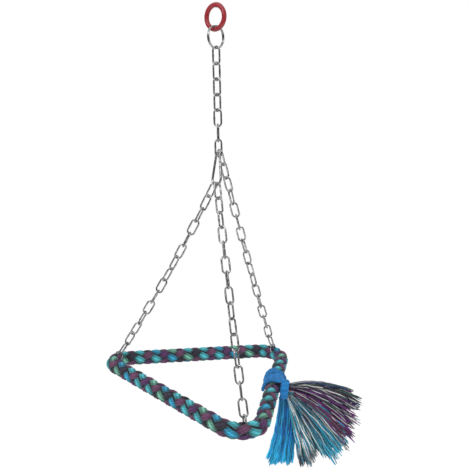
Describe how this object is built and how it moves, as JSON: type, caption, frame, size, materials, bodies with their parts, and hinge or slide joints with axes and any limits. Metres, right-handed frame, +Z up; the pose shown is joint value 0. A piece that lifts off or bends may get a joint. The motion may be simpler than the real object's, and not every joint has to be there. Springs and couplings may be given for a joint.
{
  "type": "parrot chew rope",
  "caption": "Hanging parrot toy: a triangle of braided rope carried by steel chains, with a blue yarn tie, a frayed fringe, an upper chain and a hanging ring.",
  "frame": {"origin": "the point inside the top of the hanging ring where a hook carries it", "axes": "+Z up, along the hanging chain; -Y towards the perch corner that is at the front of the picture"},
  "size_m": [0.2929, 0.2236, 0.5102],
  "materials": {
    "red_plastic": "glossy moulded",
    "plated_steel": "nickel plated wire",
    "core_wire": "plain drawn wire",
    "braided_cotton": "round braid of teal, plum, green and pale strands",
    "blue_yarn": "soft dyed yarn",
    "slate_yarn": "frayed yarn",
    "plum_yarn": "frayed yarn",
    "teal_yarn": "frayed yarn",
    "cream_yarn": "frayed yarn"
  },
  "bodies": {
    "hanging_ring": {"hanging_ring": "red_plastic"},
    "split_ring": {"split_ring": "plated_steel"},
    "upper_link_1": {"upper_link_1": "plated_steel"},
    "upper_link_2": {"upper_link_2": "plated_steel"},
    "upper_link_3": {"upper_link_3": "plated_steel"},
    "upper_link_4": {"upper_link_4": "plated_steel"},
    "upper_link_5": {"upper_link_5": "plated_steel"},
    "upper_link_6": {"upper_link_6": "plated_steel"},
    "upper_link_7": {"upper_link_7": "plated_steel"},
    "perch": {"pear_link": "plated_steel", "left_chain_link_01": "plated_steel", "left_chain_link_16": "plated_steel", "front_chain_link_01": "plated_steel", "front_chain_link_16": "plated_steel", "right_chain_link_01": "plated_steel", "right_chain_link_18": "plated_steel", "braided_rope": "braided_cotton", "wire_core": "core_wire", "blue_rope_tie": "blue_yarn", "blue_neck_tie": "blue_yarn", "fringe_neck": "plum_yarn"},
    "left_chain_upper": {"left_chain_link_02": "plated_steel", "left_chain_link_03": "plated_steel", "left_chain_links_04_05": "plated_steel", "left_chain_link_06": "plated_steel"},
    "left_chain_middle": {"left_chain_links_07_08": "plated_steel", "left_chain_links_09_10": "plated_steel", "left_chain_links_11_12": "plated_steel"},
    "left_chain_lower": {"left_chain_link_13": "plated_steel", "left_chain_links_14_15": "plated_steel"},
    "front_chain_upper": {"front_chain_link_02": "plated_steel", "front_chain_link_03": "plated_steel", "front_chain_links_04_05": "plated_steel", "front_chain_link_06": "plated_steel"},
    "front_chain_middle": {"front_chain_links_07_08": "plated_steel", "front_chain_links_09_10": "plated_steel", "front_chain_links_11_12": "plated_steel"},
    "front_chain_lower": {"front_chain_link_13": "plated_steel", "front_chain_links_14_15": "plated_steel"},
    "right_chain_upper": {"right_chain_link_02": "plated_steel", "right_chain_link_03": "plated_steel", "right_chain_links_04_05": "plated_steel", "right_chain_link_06": "plated_steel"},
    "right_chain_middle": {"right_chain_links_07_08": "plated_steel", "right_chain_links_09_10": "plated_steel", "right_chain_links_11_12": "plated_steel"},
    "right_chain_lower": {"right_chain_link_13": "plated_steel", "right_chain_links_14_15": "plated_steel", "right_chain_link_16": "plated_steel", "right_chain_link_17": "plated_steel"},
    "fringe": {"fringe_top_bunch": "slate_yarn", "fringe_plum_bunch": "plum_yarn", "fringe_teal_bunch": "teal_yarn", "fringe_cream_bunch": "cream_yarn"},
    "left_tail": {"blue_left_tail": "blue_yarn"},
    "right_tail": {"blue_right_tail": "blue_yarn"}
  },
  "joints": [
    {"name": "split_ring_swing", "type": "hinge", "parent": "hanging_ring", "child": "split_ring", "pos_m": [0, 0, -0.0215], "axis": [0.7547, -0.6561, 0], "range_deg": [-60, 60]},
    {"name": "upper_link_1_swing", "type": "hinge", "parent": "split_ring", "child": "upper_link_1", "pos_m": [0, 0, -0.04283], "axis": [0.6561, 0.7547, 0], "range_deg": [-50, 50]},
    {"name": "upper_link_2_swing", "type": "hinge", "parent": "upper_link_1", "child": "upper_link_2", "pos_m": [0, 0, -0.05713], "axis": [-0.8387, 0.5446, 0], "range_deg": [-30, 30]},
    {"name": "upper_link_3_swing", "type": "hinge", "parent": "upper_link_2", "child": "upper_link_3", "pos_m": [0, 0, -0.07313], "axis": [-0.8192, -0.5736, 0], "range_deg": [-30, 30]},
    {"name": "upper_link_4_swing", "type": "hinge", "parent": "upper_link_3", "child": "upper_link_4", "pos_m": [0, 0, -0.08913], "axis": [0.8192, -0.5736, 0], "range_deg": [-30, 30]},
    {"name": "upper_link_5_swing", "type": "hinge", "parent": "upper_link_4", "child": "upper_link_5", "pos_m": [0, 0, -0.10513], "axis": [0.7771, 0.6293, 0], "range_deg": [-25, 25]},
    {"name": "upper_link_6_swing", "type": "hinge", "parent": "upper_link_5", "child": "upper_link_6", "pos_m": [0, 0, -0.12113], "axis": [-0.9205, 0.3907, 0], "range_deg": [-25, 25]},
    {"name": "upper_link_7_swing", "type": "hinge", "parent": "upper_link_6", "child": "upper_link_7", "pos_m": [0, 0, -0.13713], "axis": [0.0958, -0.9954, 0], "range_deg": [-20, 20]},
    {"name": "perch_swing", "type": "hinge", "parent": "upper_link_7", "child": "perch", "pos_m": [0, 0, -0.15313], "axis": [0.829, 0.5592, 0], "range_deg": [-15, 15]},
    {"name": "left_chain_middle_turn", "type": "hinge", "parent": "perch", "child": "left_chain_middle", "pos_m": [-0.04876, 0.00902, -0.26462], "axis": [-0.5019, 0.1655, -0.8489], "range_deg": [-20, 20]},
    {"name": "left_chain_upper_turn", "type": "hinge", "parent": "perch", "child": "left_chain_upper", "pos_m": [-0.01135, -0.00331, -0.19452], "axis": [-0.4652, 0.1534, -0.8718], "range_deg": [-10, 10]},
    {"name": "left_chain_lower_turn", "type": "hinge", "parent": "perch", "child": "left_chain_lower", "pos_m": [-0.09758, 0.02512, -0.34718], "axis": [-0.5312, 0.1751, -0.8289], "range_deg": [-10, 10]},
    {"name": "front_chain_middle_turn", "type": "hinge", "parent": "perch", "child": "front_chain_middle", "pos_m": [0.00526, -0.0447, -0.26935], "axis": [0.0907, -0.4183, -0.9038], "range_deg": [-20, 20]},
    {"name": "front_chain_upper_turn", "type": "hinge", "parent": "perch", "child": "front_chain_upper", "pos_m": [-0.00137, -0.01413, -0.19527], "axis": [0.0824, -0.3801, -0.9212], "range_deg": [-10, 10]},
    {"name": "front_chain_lower_turn", "type": "hinge", "parent": "perch", "child": "front_chain_lower", "pos_m": [0.01408, -0.08538, -0.35725], "axis": [0.0973, -0.449, -0.8882], "range_deg": [-10, 10]},
    {"name": "right_chain_middle_turn", "type": "hinge", "parent": "perch", "child": "right_chain_middle", "pos_m": [0.02159, 0.02694, -0.23646], "axis": [0.2252, 0.288, -0.9308], "range_deg": [-20, 20]},
    {"name": "right_chain_upper_turn", "type": "hinge", "parent": "perch", "child": "right_chain_upper", "pos_m": [0.00442, 0.00498, -0.16103], "axis": [0.2135, 0.2731, -0.938], "range_deg": [-10, 10]},
    {"name": "right_chain_lower_turn", "type": "hinge", "parent": "perch", "child": "right_chain_lower", "pos_m": [0.04349, 0.05496, -0.32699], "axis": [0.2368, 0.3028, -0.9232], "range_deg": [-10, 10]},
    {"name": "fringe_lift", "type": "hinge", "parent": "perch", "child": "fringe", "pos_m": [0.07928, -0.02267, -0.4102], "axis": [-0.215, -0.9766, 0.0067], "range_deg": [0, 45]},
    {"name": "left_tail_swing", "type": "hinge", "parent": "perch", "child": "left_tail", "pos_m": [0.06743, -0.02011, -0.42834], "axis": [0.9765, -0.2155, 0], "range_deg": [-30, 30]},
    {"name": "right_tail_swing", "type": "hinge", "parent": "perch", "child": "right_tail", "pos_m": [0.07424, -0.02161, -0.42891], "axis": [0.9765, -0.2155, 0], "range_deg": [-30, 30]}
  ],
  "couplings": [
    {"joint": "left_chain_upper_turn", "follows": "left_chain_middle_turn", "ratio": 0.5},
    {"joint": "left_chain_lower_turn", "follows": "left_chain_middle_turn", "ratio": 0.5},
    {"joint": "front_chain_upper_turn", "follows": "front_chain_middle_turn", "ratio": 0.5},
    {"joint": "front_chain_lower_turn", "follows": "front_chain_middle_turn", "ratio": 0.5},
    {"joint": "right_chain_upper_turn", "follows": "right_chain_middle_turn", "ratio": 0.5},
    {"joint": "right_chain_lower_turn", "follows": "right_chain_middle_turn", "ratio": 0.5}
  ]
}
